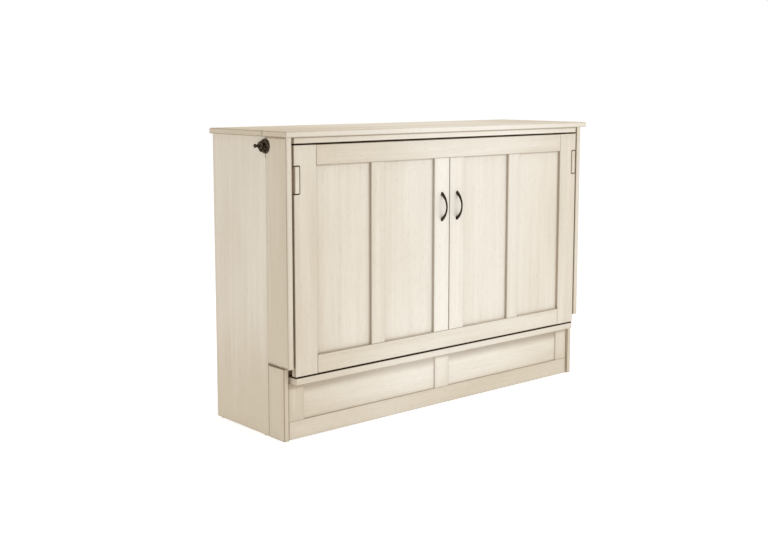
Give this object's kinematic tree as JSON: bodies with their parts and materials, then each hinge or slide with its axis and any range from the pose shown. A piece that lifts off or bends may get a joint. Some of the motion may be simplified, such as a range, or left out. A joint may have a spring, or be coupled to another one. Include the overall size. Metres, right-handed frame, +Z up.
{
  "type": "cabinet bed",
  "caption": "Cabinet bed: a chest-like cabinet with a shaker-door front whose front section rolls out on casters and folds down on legs over a telescoping slat deck.",
  "frame": {"origin": "on the floor under the middle of the closed cabinet's box", "axes": "+Z up, +Y to the rear, +X to the right of someone facing the doors"},
  "size_m": [1.6896, 0.528, 1.168],
  "materials": {
    "glazed_paint": "buttercream paint with a brown glaze in the grooves, satin lacquer",
    "bare_pine": "planed bare pine",
    "back_board": "painted plywood",
    "dark_bronze": "oil-rubbed dark bronze",
    "zinc_steel": "zinc-plated steel",
    "caster_tread": "moulded grey-black tread",
    "glide_plastic": "moulded brown plastic",
    "mattress_cover": "quilted knit cover"
  },
  "bodies": {
    "rear_cabinet": {"left_side": "glazed_paint", "right_side": "glazed_paint", "back_panel": "back_board", "back_rails": "bare_pine", "rear_top": "glazed_paint", "glides": "glide_plastic", "outer_runners": "zinc_steel", "fixed_slats": "bare_pine", "left_latch_plate": "dark_bronze", "right_latch_plate": "dark_bronze", "latch_plate_screws": "dark_bronze", "mattress_front": "mattress_cover", "mattress_middle": "mattress_cover", "mattress_rear": "mattress_cover"},
    "middle_deck": {"middle_runners": "zinc_steel", "middle_slats": "bare_pine"},
    "rolling_base": {"base_left_return": "glazed_paint", "base_right_return": "glazed_paint", "base_front_backing": "glazed_paint", "base_bottom_rail": "glazed_paint", "base_stiles": "glazed_paint", "base_boards": "bare_pine", "base_rear_board": "bare_pine", "corner_blocks": "bare_pine", "inner_runners": "zinc_steel", "base_slats": "bare_pine", "caster_blocks": "bare_pine", "caster_forks": "zinc_steel", "caster_axles": "zinc_steel", "ledge": "glazed_paint", "hinge_lower_leaf": "dark_bronze", "hinge_pin": "dark_bronze"},
    "front_section": {"front_top": "glazed_paint", "left_wing": "glazed_paint", "right_wing": "glazed_paint", "apron": "glazed_paint", "front_backing": "glazed_paint", "left_stile": "glazed_paint", "right_stile": "glazed_paint", "top_rail": "glazed_paint", "bottom_rail": "glazed_paint", "mid_stiles": "glazed_paint", "centre_stiles": "glazed_paint", "battens": "bare_pine", "corner_cleats": "bare_pine", "leg_guides": "bare_pine", "left_pull": "dark_bronze", "right_pull": "dark_bronze", "keepers": "dark_bronze", "keeper_screws": "dark_bronze", "hinge_upper_leaf": "dark_bronze"},
    "leg_left": {"left_leg": "glazed_paint"},
    "leg_right": {"right_leg": "glazed_paint"},
    "latch_left": {"left_latch_lever": "dark_bronze"},
    "latch_right": {"right_latch_lever": "dark_bronze"},
    "caster_left_front_wheel": {"left_front_wheel": "caster_tread"},
    "caster_left_rear_wheel": {"left_rear_wheel": "caster_tread"},
    "caster_right_front_wheel": {"right_front_wheel": "caster_tread"},
    "caster_right_rear_wheel": {"right_rear_wheel": "caster_tread"}
  },
  "joints": [
    {"name": "base_roll", "type": "slide", "parent": "rear_cabinet", "child": "rolling_base", "axis": [0, -1, 0], "range_m": [0, 0.66]},
    {"name": "deck_slide", "type": "slide", "parent": "rear_cabinet", "child": "middle_deck", "axis": [0, -1, 0], "range_m": [0, 0.33]},
    {"name": "front_fold", "type": "hinge", "parent": "rolling_base", "child": "front_section", "pos_m": [0, -0.2289, 0.251], "axis": [1, 0, 0], "range_deg": [0, 90]},
    {"name": "left_leg_drop", "type": "slide", "parent": "front_section", "child": "leg_left", "axis": [0, -1, 0], "range_m": [0, 0.25]},
    {"name": "right_leg_drop", "type": "slide", "parent": "front_section", "child": "leg_right", "axis": [0, -1, 0], "range_m": [0, 0.25]},
    {"name": "left_latch_turn", "type": "hinge", "parent": "rear_cabinet", "child": "latch_left", "pos_m": [-0.819, -0.086, 1.11], "axis": [-1, 0, 0], "range_deg": [0, 90]},
    {"name": "right_latch_turn", "type": "hinge", "parent": "rear_cabinet", "child": "latch_right", "pos_m": [0.819, -0.086, 1.11], "axis": [-1, 0, 0], "range_deg": [0, 90]},
    {"name": "left_front_wheel_spin", "type": "hinge", "parent": "rolling_base", "child": "caster_left_front_wheel", "pos_m": [-0.7157, -0.128, 0.022], "axis": [1, 0, 0], "continuous": true},
    {"name": "left_rear_wheel_spin", "type": "hinge", "parent": "rolling_base", "child": "caster_left_rear_wheel", "pos_m": [-0.7157, 0.163, 0.022], "axis": [1, 0, 0], "continuous": true},
    {"name": "right_front_wheel_spin", "type": "hinge", "parent": "rolling_base", "child": "caster_right_front_wheel", "pos_m": [0.7157, -0.128, 0.022], "axis": [1, 0, 0], "continuous": true},
    {"name": "right_rear_wheel_spin", "type": "hinge", "parent": "rolling_base", "child": "caster_right_rear_wheel", "pos_m": [0.7157, 0.163, 0.022], "axis": [1, 0, 0], "continuous": true}
  ],
  "couplings": [
    {"joint": "deck_slide", "follows": "base_roll", "ratio": 0.5}
  ]
}
